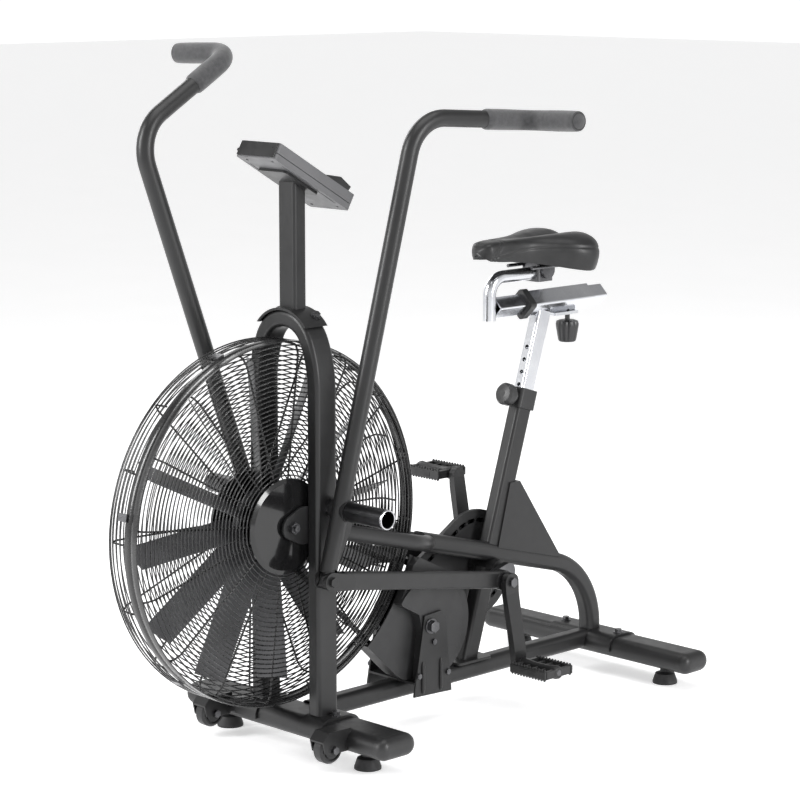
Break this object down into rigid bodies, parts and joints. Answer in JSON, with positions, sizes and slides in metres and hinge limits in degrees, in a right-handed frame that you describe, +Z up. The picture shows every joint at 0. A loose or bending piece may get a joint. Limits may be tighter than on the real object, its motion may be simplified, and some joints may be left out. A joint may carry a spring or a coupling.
{
  "type": "fan-braked exercise bike",
  "caption": "Fan-braked upright exercise bike with swinging push-pull handlebars, foot pegs, a caged fan, a console on a mast and a saddle that slides in height and reach.",
  "frame": {"origin": "on the floor under the middle of the bike", "axes": "+Z up, +Y towards the rear where the saddle is, +X towards the left of a rider who faces the fan"},
  "size_m": [0.627, 1.2708, 1.2931],
  "materials": {
    "frame_black": "satin powder coat",
    "guard_black": "gloss powder coat",
    "disc_gloss": "gloss moulded plastic",
    "cover_black": "fine moulded texture",
    "blade_black": "satin paint",
    "cap_black": "satin moulded plastic",
    "console_grey": "silver-grey paint",
    "console_black": "gloss",
    "key_grey": "matte",
    "zinc": "dark zinc plate",
    "steel": "machined",
    "peg_steel": "dark nickel",
    "post_chrome": "satin chrome",
    "foam_grey": "closed-cell foam",
    "foot_rubber": "matte",
    "tyre_black": "satin",
    "vinyl_black": "glossy vinyl",
    "knob_black": "satin"
  },
  "bodies": {
    "frame": {"front_stabilizer": "frame_black", "stabilizer_caps": "cap_black", "rear_stabilizer": "frame_black", "hoop": "frame_black", "rear_cradle": "frame_black", "frame_bolts": "zinc", "lower_tube": "frame_black", "main_tube": "frame_black", "stay_left": "frame_black", "stay_right": "frame_black", "seat_support": "frame_black", "seat_tube": "frame_black", "seat_collar": "cap_black", "mast": "frame_black", "console_tray": "console_grey", "console_shell": "console_grey", "console_trim": "console_black", "guard_left": "guard_black", "guard_right": "guard_black", "guard_discs": "disc_gloss", "fan_axle": "zinc", "drive_bracket": "frame_black", "chain_case": "cover_black", "drum_cover": "cover_black", "chain_tray": "cover_black", "arm_spindles": "steel", "pegs": "peg_steel"},
    "fan": {"fan_hub": "steel", "fan_blades": "blade_black"},
    "jack_shaft": {"jack_shaft": "steel"},
    "crank": {"crank_spindle": "zinc", "crank_arms": "frame_black", "pedal_axles": "zinc", "crank_sprocket": "cover_black"},
    "pedal_left": {"pedal_left": "cap_black"},
    "pedal_right": {"pedal_right": "cap_black"},
    "arm_left": {"arm_left": "frame_black", "grip_left": "foam_grey"},
    "arm_right": {"arm_right": "frame_black", "grip_right": "foam_grey"},
    "rod_left": {"rod_left": "frame_black"},
    "rod_right": {"rod_right": "frame_black"},
    "seat_post": {"seat_post": "post_chrome", "slide_sleeve": "post_chrome", "slide_bushing": "cap_black"},
    "slide": {"slide_bar": "post_chrome", "saddle_clamp": "zinc"},
    "saddle": {"saddle": "vinyl_black", "saddle_rails": "zinc"},
    "clamp_knob": {"clamp_knob": "knob_black"},
    "pull_pin": {"pull_pin": "knob_black"},
    "wheel_left": {"wheel_left": "tyre_black"},
    "wheel_right": {"wheel_right": "tyre_black"},
    "foot_front_left": {"foot_front_left": "foot_rubber"},
    "foot_front_right": {"foot_front_right": "foot_rubber"},
    "foot_rear_left": {"foot_rear_left": "foot_rubber"},
    "foot_rear_right": {"foot_rear_right": "foot_rubber"},
    "key_1": {"key_1": "key_grey"},
    "key_2": {"key_2": "key_grey"},
    "key_3": {"key_3": "key_grey"}
  },
  "joints": [
    {"name": "crank_turn", "type": "hinge", "parent": "frame", "child": "crank", "pos_m": [0, 0.2781, 0.257], "axis": [1, 0, 0], "continuous": true},
    {"name": "jack_turn", "type": "hinge", "parent": "frame", "child": "jack_shaft", "pos_m": [0, 0.0551, 0.19], "axis": [1, 0, 0], "continuous": true},
    {"name": "fan_turn", "type": "hinge", "parent": "frame", "child": "fan", "pos_m": [0, -0.2999, 0.436], "axis": [1, 0, 0], "continuous": true},
    {"name": "arm_left_swing", "type": "hinge", "parent": "frame", "child": "arm_left", "pos_m": [0, -0.2282, 0.466], "axis": [1, 0, 0], "range_deg": [0, 32.4]},
    {"name": "arm_right_swing", "type": "hinge", "parent": "frame", "child": "arm_right", "pos_m": [0, -0.2282, 0.466], "axis": [1, 0, 0], "range_deg": [-32.4, 0]},
    {"name": "rod_left_turn", "type": "hinge", "parent": "arm_left", "child": "rod_left", "pos_m": [0.12, -0.2649, 0.3414], "axis": [1, 0, 0], "range_deg": [-32.4, 0]},
    {"name": "pedal_left_turn", "type": "hinge", "parent": "crank", "child": "pedal_left", "pos_m": [0.171, 0.25151, 0.08909], "axis": [1, 0, 0], "continuous": true},
    {"name": "wheel_left_turn", "type": "hinge", "parent": "frame", "child": "wheel_left", "pos_m": [0.163, -0.3049, 0.047], "axis": [1, 0, 0], "continuous": true},
    {"name": "foot_front_left_level", "type": "slide", "parent": "frame", "child": "foot_front_left", "axis": [0, 0, -1], "range_m": [0, 0.008]},
    {"name": "foot_rear_left_level", "type": "slide", "parent": "frame", "child": "foot_rear_left", "axis": [0, 0, -1], "range_m": [0, 0.008]},
    {"name": "rod_right_turn", "type": "hinge", "parent": "arm_right", "child": "rod_right", "pos_m": [-0.12, -0.19242, 0.34113], "axis": [1, 0, 0], "range_deg": [0, 32.4]},
    {"name": "pedal_right_turn", "type": "hinge", "parent": "crank", "child": "pedal_right", "pos_m": [-0.171, 0.30469, 0.42491], "axis": [1, 0, 0], "continuous": true},
    {"name": "wheel_right_turn", "type": "hinge", "parent": "frame", "child": "wheel_right", "pos_m": [-0.163, -0.3049, 0.047], "axis": [1, 0, 0], "continuous": true},
    {"name": "foot_front_right_level", "type": "slide", "parent": "frame", "child": "foot_front_right", "axis": [0, 0, -1], "range_m": [0, 0.008]},
    {"name": "foot_rear_right_level", "type": "slide", "parent": "frame", "child": "foot_rear_right", "axis": [0, 0, -1], "range_m": [0, 0.008]},
    {"name": "seat_height", "type": "slide", "parent": "frame", "child": "seat_post", "axis": [0, 0.299, 0.9542], "range_m": [-0.1016, 0.0762]},
    {"name": "pin_pull", "type": "slide", "parent": "frame", "child": "pull_pin", "axis": [0, -0.9542, 0.299], "range_m": [0, 0.01], "stiffness_N_per_m": 900, "springref_m": -0.006},
    {"name": "seat_slide", "type": "slide", "parent": "seat_post", "child": "slide", "axis": [0, 1, 0], "range_m": [-0.05, 0.06]},
    {"name": "saddle_tilt", "type": "hinge", "parent": "slide", "child": "saddle", "pos_m": [0, 0.4201, 0.838], "axis": [1, 0, 0], "range_deg": [-5, 5]},
    {"name": "knob_turn", "type": "hinge", "parent": "seat_post", "child": "clamp_knob", "pos_m": [0, 0.5061, 0.71], "axis": [0, 0, 1], "range_deg": [0, 270]},
    {"name": "key_1_press", "type": "slide", "parent": "frame", "child": "key_1", "axis": [0, -0.5, -0.866], "range_m": [0, 0.0012], "stiffness_N_per_m": 300, "springref_m": -0.001},
    {"name": "key_2_press", "type": "slide", "parent": "frame", "child": "key_2", "axis": [0, -0.5, -0.866], "range_m": [0, 0.0012], "stiffness_N_per_m": 300, "springref_m": -0.001},
    {"name": "key_3_press", "type": "slide", "parent": "frame", "child": "key_3", "axis": [0, -0.5, -0.866], "range_m": [0, 0.0012], "stiffness_N_per_m": 300, "springref_m": -0.001}
  ],
  "couplings": [
    {"joint": "jack_turn", "follows": "crank_turn", "ratio": 2.75},
    {"joint": "fan_turn", "follows": "crank_turn", "ratio": 8.25},
    {"joint": "arm_right_swing", "follows": "arm_left_swing", "ratio": -1},
    {"joint": "rod_left_turn", "follows": "arm_left_swing", "ratio": -1},
    {"joint": "rod_right_turn", "follows": "arm_left_swing", "ratio": 1}
  ]
}
